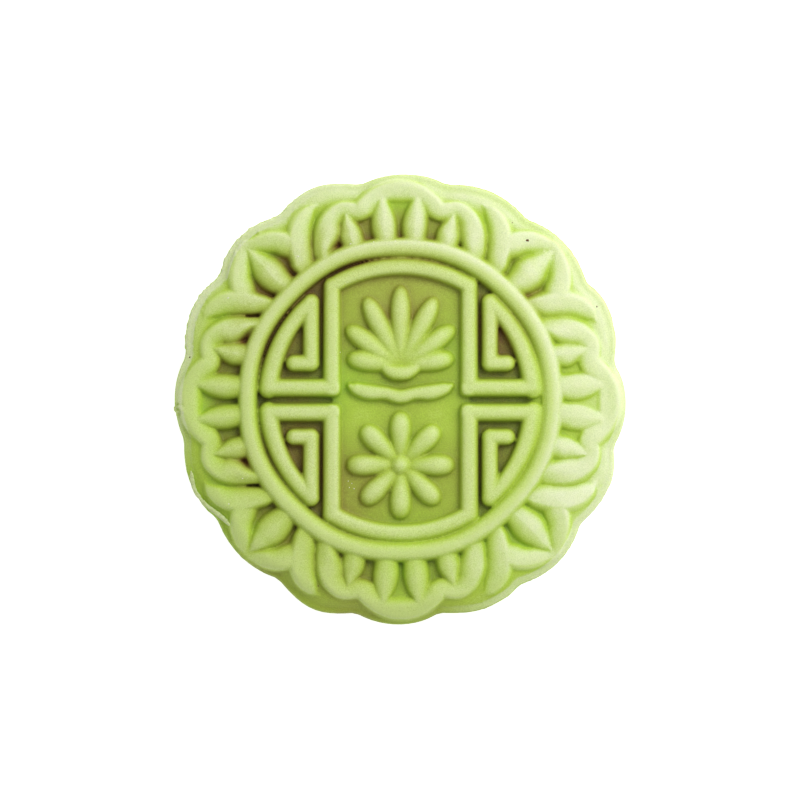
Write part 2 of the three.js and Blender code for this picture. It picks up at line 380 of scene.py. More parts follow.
# The border's motifs, along a quarter's axis at 0 degrees. Points are [degrees, radius, half width], and
# some have the degrees that the stroke is rolled over there. Arched motifs cross their axis and are given
# from the crown to one foot; those that aren't single have a twin across the quarter's axis. The quarters
# come from east round by north: a swell widens all the strokes of one, and a taper narrows the feet of its
# side arches and blades.
border = {
    "crest": 29.55, "fall": 0.0095, "crestFrom": 28.0, "droop": 0.2, "leafDroop": 0.08,
    "swell": [1.1, 1.0, 1.0, 1.02], "taper": [1.0, 0.97, 0.84, 0.94], "taperFrom": 31.5, "taperTo": 29.0,
    # how much thinner, turned aside and rolled over the feet of a quarter's two side arches came out
    "thin": [[0.25, 0.15], [1.2, 0.1], [1.2, 1.4], [0.1, 0.4]],
    "thinWidth": 0.25, "thinTurn": 1.0, "thinRoll": 0.8,
    "motifs": [
        {"name": "longLeaf", "kind": "leaf", "axis": 5.05,
         "points": [[0, 26.6, 1.95], [0, 28.0, 2.15], [0, 29.3, 2.35], [0, 30.6, 2.4], [0, 32.0, 2.15],
                    [0, 33.4, 1.6], [0, 34.7, 0.8], [0, 35.5, 0.12]]},
        {"name": "shortLeaf", "kind": "leaf", "axis": 16.2,
         "points": [[0.6, 26.6, 1.9], [0.4, 28.0, 2.1], [0.2, 29.3, 2.2], [0, 30.3, 2.0], [0, 31.5, 1.4],
                    [0, 32.5, 0.75], [0, 33.2, 0.12]]},
        {"name": "cornerLeaf", "kind": "leaf", "axis": 45, "single": True,
         "points": [[0.1, 26.8, 2.0], [0.2, 28.4, 2.4], [0.2, 30.0, 2.85], [0.2, 31.4, 2.95],
                    [0.1, 33.0, 2.55], [0, 34.6, 1.6], [0, 35.8, 0.8], [0, 36.6, 0.12]]},
        {"name": "crownArch", "kind": "band", "axis": 0, "single": True, "arched": True,
         "points": [[0, 36.2, 2.4], [4.0, 36.0, 2.15], [7.0, 35.3, 2.0], [9.4, 34.3, 2.05],
                    [11.0, 33.5, 2.05], [12.4, 32.9, 1.5], [13.4, 32.6, 0.5]]},
        {"name": "cornerArch", "kind": "band", "axis": 45, "single": True, "arched": True,
         "points": [[0, 37.2, 1.3], [2.5, 36.6, 1.65], [5.0, 35.7, 2.05], [7.4, 34.6, 2.25],
                    [9.4, 33.1, 2.4], [11.3, 31.2, 2.1]]},
        {"name": "sideArch", "kind": "band", "axis": 0,
         "points": [[8.6, 33.5, 0.5], [10.4, 33.2, 1.4], [12.2, 33.2, 1.8], [14.2, 33.7, 1.9],
                    [17.0, 34.2, 1.9], [20.4, 33.4, 2.2], [23.6, 31.5, 2.6, 6], [26.2, 29.3, 2.35, 15],
                    [27.8, 28.0, 1.85, 18], [28.6, 27.2, 1.3, 18]]},
        {"name": "blade", "kind": "band", "axis": 0, "away": True,
         "points": [[36.8, 27.2, 1.2], [35.9, 28.5, 1.85], [34.7, 29.6, 2.25], [33.0, 31.7, 2.45],
                    [30.3, 34.0, 2.45], [26.9, 35.6, 1.85], [24.8, 36.2, 1.1], [22.8, 36.5, 0.12]]},
    ],
}


def borderStroke(motif, shapes, swell, taper, thin):
    b = border
    droop = b["leafDroop"] if motif["kind"] == "leaf" else b["droop"]
    widest = max(half for _, _, half, *_ in motif["points"])
    line = motif["points"]
    if motif.get("arched"):
        line = [[-angle, radius, half] for angle, radius, half in line[:0:-1]] + line
    points = []
    for angle, radius, half, *roll in line:
        low = float(ease(radius, b["taperFrom"], b["taperTo"]))
        width, aside = half * swell, 0
        if motif["name"] in ("sideArch", "blade"):
            width *= 1 - (1 - taper) * low
        if motif["name"] == "sideArch":
            width *= 1 - b["thinWidth"] * thin * low
            aside = b["thinTurn"] * thin * low
        turn = math.radians(motif["axis"] + angle + aside)
        crest = b["crest"] - b["fall"] * max(radius - b["crestFrom"], 0) ** 2 - droop * (widest - half)
        points.append([radius * math.cos(turn), radius * math.sin(turn), crest, width,
                       sum(roll) * (1 + b["thinRoll"] * thin)])
    if motif.get("away"):
        points.reverse()
    return stroke(motif["name"], points, shapes, motif["kind"])


def makeQuarter(shapes, swell, taper, thins):
    crossing = [borderStroke(motif, shapes, swell, taper, 0)
                for motif in border["motifs"] if motif.get("single")]
    halves = []
    for thin in thins:
        strokes = [borderStroke(motif, shapes, swell, taper, thin)
                   for motif in border["motifs"] if not motif.get("single")]
        halves.append(joined(strokes, "borderHalf"))
    near, far = halves
    mirrored = mirroredCopy(far, flipY=-1)
    pick(far)
    bpy.ops.object.delete()
    return joined(crossing + [near, mirrored], "borderQuarter")


def makeBorder(shapes):
    b = border
    quarters = [makeQuarter(shapes, *each) for each in zip(b["swell"], b["taper"], b["thin"])]
    for place, quarter in enumerate(quarters):
        pick(quarter)
        quarter.rotation_euler = (0, 0, math.radians(90 * place))
        bpy.ops.object.transform_apply(location=False, rotation=True, scale=False)
    return quarters


# The panel's ornament: a lotus blossom seen from the side, over an open bloom seen from above. A petal's
# swell is [share of its length, share of its width]; lines are [x, y, half width].
ornament = {
    "crest": 29.6, "thickest": 1.5, "thinDrop": 0.3,
    "swell": [[0, 0.5], [0.12, 0.64], [0.3, 0.82], [0.5, 0.96], [0.66, 1.0], [0.79, 0.93], [0.89, 0.77],
              [0.95, 0.56], [0.985, 0.32], [1.0, 0.12]],
    "blossomY": 5.8, "blossomFrom": 0.4, "spread": 27, "lengths": [14.0, 13.4, 11.6, 9.4],
    "petalHalf": 1.95,
    "calyx": [[-3.3, 6.6, 0.5], [-2.2, 5.3, 1.2], [0, 4.7, 1.5], [2.2, 5.3, 1.2], [3.3, 6.6, 0.5]],
    "waterLine": [[-9.0, 2.6, 0.3], [-8.0, 2.1, 1.1], [-5.4, 1.4, 1.5], [-2.6, 1.2, 1.25], [0, 0.6, 1.35],
                  [2.6, 1.2, 1.25], [5.4, 1.4, 1.5], [8.0, 2.1, 1.1], [9.0, 2.6, 0.3]],
    "bloomY": -11.2, "bloomPetals": 8, "bloomFrom": 1.4, "bloomTo": 9.4, "bloomHalf": 2.1,
    "boss": 2.1, "bossSteps": (24, 12),
}


def petal(y, degrees, start, end, half, shapes):
    turn = math.radians(degrees)
    points = []
    for share, width in ornament["swell"]:
        reach = start + (end - start) * share
        points.append([math.cos(turn) * reach, y + math.sin(turn) * reach,
                       ornament["crest"] - sections["petal"]["rise"] * half * (1 - width), half * width])
    return stroke("petal", points, shapes, "petal")


def makeOrnament(shapes):
    o = ornament
    pieces = []
    for rank, length in enumerate(o["lengths"]):
        for side in ((1,) if rank == 0 else (1, -1)):
            turn = 90 + side * rank * o["spread"]
            pieces.append(petal(o["blossomY"], turn, o["blossomFrom"], length, o["petalHalf"], shapes))
    for name in ("calyx", "waterLine"):
        line = [[x, y, o["crest"] - o["thinDrop"] * (o["thickest"] - half), half]
                for x, y, half in o[name]]
        pieces.append(stroke(name, line, shapes, "bar"))
    for k in range(o["bloomPetals"]):
        turn = 90 + 360 / o["bloomPetals"] * k
        pieces.append(petal(o["bloomY"], turn, o["bloomFrom"], o["bloomTo"], o["bloomHalf"], shapes))
    segments, rings = o["bossSteps"]
    bpy.ops.mesh.primitive_uv_sphere_add(segments=segments, ring_count=rings, radius=o["boss"],
                                         location=(0, o["bloomY"], o["crest"] - o["boss"]))
    bpy.ops.object.transform_apply(location=True)
    pieces.append(bpy.context.object)
    return pieces


# How the dough came out of its mould: springing up in the middle, dragged round by fractions of a
# millimetre and filled less deep on one side, with an edge that sank on the other. Rows are [degrees,
# outward, along, depth of the relief, how far the edge sank]. The relief is "full" deep; what is "hidden"
# stays where it is.
release = {
    "dome": 0.0009, "domeFrom": 22.0, "domeTo": 27.0, "dragFrom": 27.0, "dragTo": 29.5,
    "depthFrom": 21.0, "depthTo": 24.0, "rimFrom": 34.5, "rimTo": 36.5, "full": 2.4, "hidden": 7.0,
    "edgeFrom": 34.5, "edgeTo": 38.8,
    "rows": [
        [0, 0.05, -0.35, 0.42, 0.0], [30, -0.1, -0.65, 0.88, -0.1], [60, 0.0, 0.0, 0.94, 0.0],
        [90, 0.0, 0.2, 0.86, 0.0], [120, 0.2, 0.26, 1.1, 0.1], [150, 0.25, 0.45, 1.1, 0.15],
        [180, 0.15, 0.3, 1.12, 0.35], [210, 0.25, -0.17, 1.05, 1.0], [240, 0.15, 0.26, 0.98, 1.1],
        [270, 0.0, 0.1, 0.95, 1.0], [300, 0.05, -0.15, 0.86, 0.55], [330, 0.05, 0.15, 0.68, 0.15],
    ],
}


def loosen(ob):
    r = release
    co = readAll(ob, "co")
    radius = np.hypot(co[:, 0], co[:, 1])
    angle = np.arctan2(co[:, 1], co[:, 0])
    _, outward, along, depth, sunk = roundAbout(angle, np.array(r["rows"])).T
    top = ease(co[:, 2], r["domeFrom"], r["domeTo"])
    # the relief is measured down from the level of the crests
    level = border["crest"] - border["fall"] * np.maximum(radius - border["crestFrom"], 0) ** 2
    below = np.maximum(level - co[:, 2], 0)
    lift = (1 - depth) * np.minimum(below, r["full"]) * ease(below, r["hidden"], r["full"])
    lift *= ease(radius, r["depthFrom"], r["depthTo"]) * ease(radius, r["rimTo"], r["rimFrom"])
    drag = ease(radius, r["dragFrom"], r["dragTo"]) * top
    grown = radius + outward * drag
    turned = angle + along * drag / np.maximum(radius, 1)
    co[:, 0], co[:, 1] = grown * np.cos(turned), grown * np.sin(turned)
    edge = ease(radius, r["edgeFrom"], r["edgeTo"])
    co[:, 2] += lift - r["dome"] * radius ** 2 * top - sunk * edge * top
    ob.data.vertices.foreach_set("co", co.ravel())


# Where the lip tore a little: [from, to, how deep, how far its crumbs stand out, coarseness], in degrees
# and millimetres
torn = {"stretches": [[180.0, 184.8, 0.25, 0.6, 0.45], [116, 168, 0.12, 0.16, 0.6],
                      [15, 80, 0.05, 0.08, 0.6], [196, 236, 0.1, 0.1, 0.8], [280, 340, 0.05, 0.08, 0.7]],
        "fade": 1.5, "radiusFrom": 36.8, "radiusTo": 38.0, "heightFrom": 24.0, "heightTo": 26.0}


def tear(ob):
    t = torn
    for vertex in ob.data.vertices:
        x, y, z = vertex.co
        radius = math.hypot(x, y)
        if radius < t["radiusFrom"] or z < t["heightFrom"]:
            continue
        angle = math.degrees(math.atan2(y, x)) % 360
        for start, end, deep, proud, grain in t["stretches"]:
            if start < angle < end:
                rough = noise.noise(Vector((x, y, z)) / grain)
                share = min(angle - start, end - angle, t["fade"]) / t["fade"]
                share *= float(ease(np.array(radius), t["radiusFrom"], t["radiusTo"]))
                share *= float(ease(np.array(z), t["heightFrom"], t["heightTo"]))
                out = share * 2 * (proud * max(rough, 0) + deep * min(rough, 0))
                vertex.co.x += out * x / radius
                vertex.co.y += out * y / radius


# The wall came out of a straight mould: it is a little wavy and faintly streaked up and down, by waves of
# [across, upright, height]. It is even in colour, with painted shade that darkens it in the folds between
# its lobes and at its foot.
wall = {"waves": [[7.0, 9.0, 0.3], [1.1, 16.0, 0.09]], "fadeFrom": 24.6, "fadeTo": 22.0, "radius": 34.0,
        "upright": (-0.1, 0.4), "edge": (36.0, 37.4), "brownTint": 0.15, "open": 0.6, "fold": 0.14,
        "foldSharp": 5, "foot": 0.12, "footTo": 5.0, "flourAndHighlight": 0.55, "flat": 0.15}


def pressWall(ob):
    w = wall
    for vertex in ob.data.vertices:
        x, y, z = vertex.co
        radius = math.hypot(x, y)
        if z < w["fadeFrom"] and radius > w["radius"]:
            out = sum(height * noise.noise(Vector((x / across, y / across, z / upright)))
                      for across, upright, height in w["waves"])
            out *= min((w["fadeFrom"] - z) / (w["fadeFrom"] - w["fadeTo"]), 1)
            vertex.co.x += out * x / radius
            vertex.co.y += out * y / radius


def settle(ob):
    # the foot rests on the table
    for vertex in ob.data.vertices:
        if vertex.co.z < wall["flat"]:
            vertex.co.z = 0


# Bringing the pieces together as one soft skin, gently uneven by [scale, height], with a flat base
skin = {"voxel": 0.18, "uneven": [[5.0, 0.16], [1.4, 0.05]], "soft": 0.5, "soften": 4, "triangles": 194000,
        "base": -0.99}


def makeCake():
    shapes = {name: makeSection(name) for name in sections}
    parts = [makeBody()] + makeMedallion(shapes) + makeBorder(shapes) + makeOrnament(shapes)
    cake = joined(parts, "mooncakeSkin")
    print("strokes joined", len(cake.data.vertices))
    finishWith(cake, 'REMESH', mode='VOXEL', voxel_size=skin["voxel"])
    print("remeshed", len(cake.data.polygons))
    loosen(cake)
    tear(cake)
    pressWall(cake)
    for scale, height in skin["uneven"]:
        clouds = bpy.data.textures.new("unevenDough", 'CLOUDS')
        clouds.noise_scale = scale
        finishWith(cake, 'DISPLACE', texture=clouds, strength=height, mid_level=0.5, direction='Z',
                   texture_coords='LOCAL')
    finishWith(cake, 'SMOOTH', factor=skin["soft"], iterations=skin["soften"])
    settle(cake)
    # each face makes two triangles
    faces = len(cake.data.polygons) * 2
    finishWith(cake, 'DECIMATE', ratio=skin["triangles"] / faces)
    print("decimated", len(cake.data.polygons))
    pick(*shapes.values())
    bpy.ops.object.delete()
    bringDown(cake)
    for face in cake.data.polygons:
        if face.normal.z < skin["base"]:
            face.use_smooth = False
    return cake


# Painted shade: how far each spot of the top lies open, 1 on a crest, less the deeper it lies between walls,
# and the dough's colour is painted darker the less open it is. The floors get more painted shade still, and
# so do the outermost edge and the rim where it sank.
sky = {"cell": 0.21, "half": 42.0, "reach": 4.5, "directions": 20, "ground": 22.0, "past": 0.8,
       "crest": 29.9, "deep": 2.2, "deepShare": 0.11, "deepTo": 35.5, "deepFade": 2, "top": (24.0, 25.5),
       "sunkShare": 0.23, "sunkRim": (34.2, 35.6), "sunkUnder": (28.3, 28.75), "edgeShare": 0.07,
       "edge": (1.1, 0.4)}
# metres up, from where the top is felt for
above = 0.05


def treeOf(ob):
    return BVHTree.FromPolygons([v.co for v in ob.data.vertices], [p.vertices for p in ob.data.polygons])


def feltAt(tree, x, y):
    return tree.ray_cast(Vector((x * toMetres, y * toMetres, above)), Vector((0, 0, -1)))[0]


def topAt(tree, x, y):
    return feltAt(tree, x, y).z / toMetres


def heightGrid(cake, place):
    tree = treeOf(cake)
    height = np.full((len(place), len(place)), sky["ground"])
    for row, y in enumerate(place):
        for column, x in enumerate(place):
            if x * x + y * y < (body["radius"] + sky["past"]) ** 2:
                hit = feltAt(tree, x, y)
                if hit is not None:
                    height[row, column] = max(hit.z / toMetres, sky["ground"])
    return height


def shifted(grid, x, y):
    # the grid seen from a spot that lies x, y cells further on, read between the cells
    column, row = math.floor(x), math.floor(y)
    u, v = x - column, y - row
    rolled = [[np.roll(grid, (-row - j, -column - i), axis=(0, 1)) for i in (0, 1)] for j in (0, 1)]
    return ((rolled[0][0] * (1 - u) + rolled[0][1] * u) * (1 - v)
            + (rolled[1][0] * (1 - u) + rolled[1][1] * u) * v)


def opennessGrid(cake):
    cells = int(2 * sky["half"] / sky["cell"])
    place = (np.arange(cells) + 0.5) * sky["cell"] - sky["half"]
    height = heightGrid(cake, place)
    closed = np.zeros_like(height)
    for k in range(sky["directions"]):
        turn = 2 * math.pi * (k + 0.5) / sky["directions"]
        steepest = np.full_like(height, -10)
        for step in range(1, int(sky["reach"] / sky["cell"]) + 1):
            away = shifted(height, math.cos(turn) * step, math.sin(turn) * step)
            steepest = np.maximum(steepest, (away - height) / (step * sky["cell"]))
        closed += np.arctan(steepest) / (math.pi / 2)
    value = 1 - closed / sky["directions"]
    radius = np.hypot(*np.meshgrid(place, place))
    fall = border["fall"] * np.maximum(radius - border["crestFrom"], 0) ** 2
    level = sky["crest"] - release["dome"] * radius ** 2 - fall
    deep = np.clip((level - height) / sky["deep"], 0, 1)
    deep = deep * np.clip((sky["deepTo"] - radius) / sky["deepFade"], 0, 1)
    # painted shade: the floors below the level of the crests are painted darker still
    value -= sky["deepShare"] * deep
    for axis in (0, 1):
        value = (np.roll(value, 1, axis) + 2 * value + np.roll(value, -1, axis)) / 4
    return value


def readGrid(grid, co):
    # the grid's value at each vertex, read between the cells
    at = (co[:, :2] + sky["half"]) / sky["cell"] - 0.5
    low = np.floor(at).astype(int)
    part = at - low
    x, y = low[:, 0], low[:, 1]
    u, v = part[:, 0], part[:, 1]
    return (grid[y, x] * (1 - u) * (1 - v) + grid[y, x + 1] * u * (1 - v)
            + grid[y + 1, x] * (1 - u) * v + grid[y + 1, x + 1] * u * v)


# painted shade for each vertex: the openness, less on the sunk rim and at the outermost edge, and on the
# wall an even tone with painted shade in its folds and at its foot
def opennessShade(cake, co, radius, angle, inset, beside):
    value = readGrid(opennessGrid(cake), co)
    r = release
    sunk = roundAbout(angle, np.array(r["rows"]))[:, 4]
    flat = co[:, 2] + r["dome"] * radius ** 2 + sunk * ease(radius, r["edgeFrom"], r["edgeTo"])
    top = ease(co[:, 2], *sky["top"])
    low = 1 - ease(flat, *sky["sunkUnder"])
    # painted shade on the rim where it sank and along the outermost edge
    value -= sky["sunkShare"] * sunk * ease(radius, *sky["sunkRim"]) * low * top
    value -= sky["edgeShare"] * ease(inset, *sky["edge"]) * top
    w = wall
    # painted shade in the folds between the wall's lobes and at its foot
    fold = (0.5 - 0.5 * np.cos(body["lobes"] * (angle - math.radians(body["turn"])))) ** w["foldSharp"]
    fold *= ease(radius, *w["edge"]) * ease(co[:, 2], 0, w["flat"])
    even = w["open"] - w["fold"] * fold - w["foot"] * (1 - ease(co[:, 2], 0, w["footTo"]))
    return value * (1 - beside) + even * beside


# Rice flour and painted highlight: a pale colour on what faces up and towards the north-east, near the key
# light, and lies open, standing for both a dusting of flour and the light those faces catch: much of it to
# one side of the border, less to the other, and some to the medallion, but none to the ring's inner flank.
# It reaches the floors where the relief is shallow. How much there is in the middle, round the border and on
# the lip runs from east by north.
flourAndHighlight = {"from": 45, "lean": 27, "caught": (0.64, 0.98), "open": (0.68, 1.0), "middleTo": 25.6,
         "roundFrom": 27.6,
         "middle": [0.45, 0.5, 0.42, 0.3, 0.25, 0.45, 0.52, 0.52, 0.48, 0.45, 0.42, 0.42],
         "round": [0.92, 0.96, 0.95, 0.92, 0.78, 0.7, 0.25, 0.05, 0.05, 0.15, 0.82, 1.05],
         "lip": [1.0, 0.82, 0.7, 0.8, 1.05, 1.1, 1.0, 0.1, 0.1, 0.3, 1.0, 1.1],
         "lipCaught": 0.9, "lipOpen": 0.16, "lipEdge": (2.0, 1.2), "slopeOpen": 0.03,
         "slopeEdge": (4.0, 2.6), "shallowOpen": 0.14, "bareFrom": (24.5, 25.1), "bareTo": (26.3, 25.6)}


def paintFlourAndHighlight(normal, radius, angle, inset, openShade, beside):
    f = flourAndHighlight
    turn, lean = math.radians(f["from"]), math.radians(f["lean"])
    # the painted highlight falls on what faces this way, up and towards the north-east
    towardLight = np.array([math.cos(turn) * math.sin(lean), math.sin(turn) * math.sin(lean), math.cos(lean)])
    lip, slope = ease(inset, *f["lipEdge"]), ease(inset, *f["slopeEdge"])
    caught = np.maximum(normal @ towardLight, f["lipCaught"] * lip)
    middle, outer, edge = roundAbout(angle, np.array([f["middle"], f["round"], f["lip"]]).T).T
    beyond = ease(radius, f["middleTo"], f["roundFrom"])
    amount = middle + (outer - middle) * beyond
    amount *= 1 - ease(radius, *f["bareFrom"]) * ease(radius, *f["bareTo"])
    amount += (edge - amount) * lip
    shallow = (1 - roundAbout(angle, np.array(release["rows"]))[:, 3]) * beyond
    openShade = openShade + f["slopeOpen"] * slope + (f["lipOpen"] - f["slopeOpen"]) * lip
    openShade += f["shallowOpen"] * np.maximum(shallow, 0)
    amount *= ease(caught, *f["caught"]) * ease(openShade, *f["open"])
    return amount * (1 - beside) + wall["flourAndHighlight"] * beside


# The dough turns to the browner ramp towards one side, less so round the border; spots are [x, y, reach, how
# much more]
brownTint = {"toward": 140, "slant": 0.012, "outerFrom": 31.0, "outerTo": 34.5, "outerCut": 0.75, "most": 0.5,
        "spots": [[0, -29, 5, -0.3], [0, 20.5, 6, 1.1], [10, -2, 5, -0.1], [9, -15, 7, 0.35],
                  [-8, -16, 6, 0.6], [-9.5, 2, 6, -0.5], [9.5, 9, 4.5, -0.3], [17, 11, 6, 0.55],
                  [17, -8, 6, 0.3], [-17, -8, 6, 0.3], [0, 31, 6, -0.1], [-27, -1, 7, -0.35],
                  [-27, 10, 2.6, 0.5], [-27, -10, 2.6, 0.5], [-10, 27, 2.6, 0.5], [22.6, 17.6, 2.2, 0.5],
                  [-9, -36, 8, 0.75], [8, -37, 8, 0.5], [-20, 24, 9, 0.1], [-23, -30, 7, 0.5]]}


def brownTintAt(co, radius, under):
    d = brownTint
    turn = math.radians(d["toward"])
    brownShare = d["most"] + d["slant"] * (co[:, 0] * math.cos(turn) + co[:, 1] * math.sin(turn))
    brownShare *= 1 - d["outerCut"] * ease(radius, d["outerFrom"], d["outerTo"])
    for x, y, reach, more in d["spots"]:
        brownShare += more * np.exp(-((co[:, 0] - x) ** 2 + (co[:, 1] - y) ** 2) / (reach * reach))
    return np.clip(brownShare, 0, 1) * (1 - under) + wall["brownTint"] * under


def keep(ob, name, value):
    layer = ob.data.attributes.new(name, 'FLOAT', 'POINT')
    layer.data.foreach_set("value", value)
    print(name, np.percentile(value, [0, 5, 25, 50, 75, 95, 100]).round(2))


def addTints(cake):
    # what the dough's material reads at each vertex: painted shade, flour with painted highlight, and a
    # brown tint
    co, normal = readAll(cake, "co") / toMetres, readAll(cake, "normal")
    radius, angle = np.hypot(co[:, 0], co[:, 1]), np.arctan2(co[:, 1], co[:, 0])
    inset = insetOf(radius, angle)
    # the wall is what lies under the lip and what stands upright beside it
    under = 1 - ease(co[:, 2], wall["fadeTo"], wall["fadeFrom"])
    upright = (1 - ease(normal[:, 2], *wall["upright"])) * ease(radius, *wall["edge"])
    beside = np.maximum(under, upright)
    openShade = opennessShade(cake, co, radius, angle, inset, beside)
    keep(cake, "opennessShade", openShade)
    keep(cake, "flourAndHighlight", paintFlourAndHighlight(normal, radius, angle, inset, openShade, beside))
    keep(cake, "brownTint", brownTintAt(co, radius, under))


# Materials
def linear(code):
    def channel(pair):
        c = int(pair, 16) / 255
        return c / 12.92 if c <= 0.04045 else ((c + 0.055) / 1.055) ** 2.4
    return [channel(code[i:i + 2]) for i in (0, 2, 4)] + [1]


def addNode(tree, kind, settings=None, links=None):
    node = tree.nodes.new(kind)
    # what the node is set to comes before its sockets' values, given by name or place
    for key, value in (settings or {}).items():
        if isinstance(key, str) and key not in node.inputs:
            setattr(node, key, value)
    for key, value in (settings or {}).items():
        if not isinstance(key, str) or key in node.inputs:
            node.inputs[key].default_value = value
    for socket, source in (links or {}).items():
        tree.links.new(source, node.inputs[socket])
    return node


def fillRamp(node, stops):
    ramp = node.color_ramp
    while len(ramp.elements) < len(stops):
        ramp.elements.new(0.5)
    for element, (place, code) in zip(ramp.elements, stops):
        element.position = place
        element.color = linear(code)


def summed(tree, *terms):
    total = terms[0]
    for term in terms[1:]:
        total = addNode(tree, 'ShaderNodeMath', {"operation": 'ADD'}, {0: total, 1: term}).outputs[0]
    return total


def emptyMaterial(name):
    material = bpy.data.materials.new(name)
    material.use_nodes = True
    material.node_tree.nodes.clear()
    return material


# Uncooked rice dough, pressed in a floured mould: matt and a little see-through. Its colour carries painted
# shade, deeper green and darker where it is folded in, a pale colour of flour and painted highlight on its
# crests, and browner tones towards one side. The flour makes a fine grain.
dough = {
    # ramps over the openness, which carries painted shade: the lower it is, the darker the dough
    "fresh": [[0.24, "4e6420"], [0.38, "7c9e30"], [0.5, "9abf38"], [0.64, "a9cc3a"], [0.78, "b6d543"],
              [0.9, "c3df68"], [1.0, "d0e586"]],
    "brown": [[0.24, "583414"], [0.38, "795c22"], [0.5, "8a802e"], [0.64, "9ca23b"], [0.78, "afc04a"],
              [0.9, "bfd165"], [1.0, "d0e089"]],
    # sizes of the noises in millimetres, and how much each of them sways what
    "grain": 0.18, "grainShare": 0.22, "grainLight": 0.34, "mottle": 1.3, "mottleShare": 0.07,
    "cloud": 9.0, "cloudShare": 0.05, "detail": {"grain": 2.0, "mottle": 3.0, "cloud": 2.0},
    # how much the brown tint is mottled, and the pale colour of flour and painted highlight with its share,
    # grain and mottle
    "brownMottle": 0.4, "flourAndHighlight": "f6f6e2", "paleMost": 0.55, "paleGrain": 0.35, "paleMottle": 0.25,
    # strengths of the bumps, and their depths in metres
    "mottleBump": (0.2, 0.0001), "grainBump": (0.4, 0.00006),
    "roughness": 0.62, "bending": 1.45, "seeThrough": 0.25, "seeDepth": 0.001,
    "seeColours": (1.0, 1.2, 0.4),
}


def bumped(tree, height, strength, depth, below=None):
    links = {'Height': height, 'Normal': below} if below else {'Height': height}
    bump = addNode(tree, 'ShaderNodeBump', {'Strength': strength, 'Distance': depth}, links)
    return bump.outputs['Normal']


def makeDough():
    d = dough
    material = emptyMaterial("riceDough")
    tree = material.node_tree
    place = addNode(tree, 'ShaderNodeTexCoord').outputs['Object']
    noises = {}
    for name, detail in d["detail"].items():
        noises[name] = addNode(tree, 'ShaderNodeTexNoise',
                               {'Scale': 1 / (d[name] * toMetres), 'Detail': detail},
                               {'Vector': place}).outputs['Fac']

    def swing(name, share):
        # a noise turned to plus and minus half its share
        return addNode(tree, 'ShaderNodeMath', {"operation": 'MULTIPLY_ADD', 1: share, 2: -share / 2},
                       {0: noises[name]}).outputs[0]

    openShade, flourAndLight, browner = [addNode(tree, 'ShaderNodeAttribute', {"attribute_name": name}).outputs['Fac']
                          for name in ("opennessShade", "flourAndHighlight", "brownTint")]
    # painted shade: the openness, swayed by noise, picks the colour from the ramps
    depth = summed(tree, openShade, swing("grain", d["grainShare"]), swing("mottle", d["mottleShare"]),
                   swing("cloud", d["cloudShare"]))
    fresh = addNode(tree, 'ShaderNodeValToRGB', links={'Fac': depth})
    fillRamp(fresh, d["fresh"])
    brown = addNode(tree, 'ShaderNodeValToRGB', links={'Fac': depth})
    fillRamp(brown, d["brown"])
    # the brown tint mixes in the browner ramp
    brownShare = summed(tree, browner, swing("mottle", d["brownMottle"]))
    mixed = addNode(tree, 'ShaderNodeMix', {"data_type": 'RGBA', "clamp_factor": True},
                    {'Factor': brownShare, 6: fresh.outputs['Color'], 7: brown.outputs['Color']})
    # flour and painted highlight: a pale colour mixed over the dough
    patchy = summed(tree, swing("grain", d["paleGrain"]), swing("mottle", d["paleMottle"]), flourAndLight)
    paleShare = addNode(tree, 'ShaderNodeMath', {"operation": 'MULTIPLY'}, {0: flourAndLight, 1: patchy})
    paleShare = addNode(tree, 'ShaderNodeMath', {"operation": 'MULTIPLY', "use_clamp": True, 1: d["paleMost"]},
                     {0: paleShare.outputs[0]})
    colour = addNode(tree, 'ShaderNodeMix', {"data_type": 'RGBA', 7: linear(d["flourAndHighlight"])},
                     {'Factor': paleShare.outputs[0], 6: mixed.outputs[2]})
    lighter = addNode(tree, 'ShaderNodeMath', {"operation": 'ADD', 1: 1.0},
                      {0: swing("grain", d["grainLight"])})
    colour = addNode(tree, 'ShaderNodeVectorMath', {"operation": 'SCALE'},
                     {0: colour.outputs[2], 'Scale': lighter.outputs[0]})
    lumps = bumped(tree, noises["mottle"], *d["mottleBump"])
    normal = bumped(tree, noises["grain"], *d["grainBump"], lumps)
    shader = addNode(tree, 'ShaderNodeBsdfPrincipled', {
        'Roughness': d["roughness"], 'IOR': d["bending"], 'Subsurface Weight': d["seeThrough"],
        'Subsurface Scale': d["seeDepth"], 'Subsurface Radius': d["seeColours"]},
        {'Base Color': colour.outputs[0], 'Normal': normal})
    addNode(tree, 'ShaderNodeOutputMaterial', links={'Surface': shader.outputs['BSDF']})
    return material


# Grainy stuffs, of two colours by a fine noise: bran is dark and dull, loose flour is chalky, and dried
# dough is pale and a little waxy. Sizes are in millimetres, the bump's depth in metres.
grainy = {
    "riceBran": {"dark": "52341a", "light": "6e4c26", "size": 0.15, "roughness": 0.7},
    "riceFlour": {"dark": "e6e8c4", "light": "f3f3e2", "size": 0.12, "roughness": 0.9},
    "driedDough": {"dark": "bccb83", "light": "d0dca0", "size": 0.4, "roughness": 0.5},
}
fineGrain = {"detail": 3.0, "darkTo": 0.35, "lightFrom": 0.65, "bump": (0.4, 0.00004), "bending": 1.45}


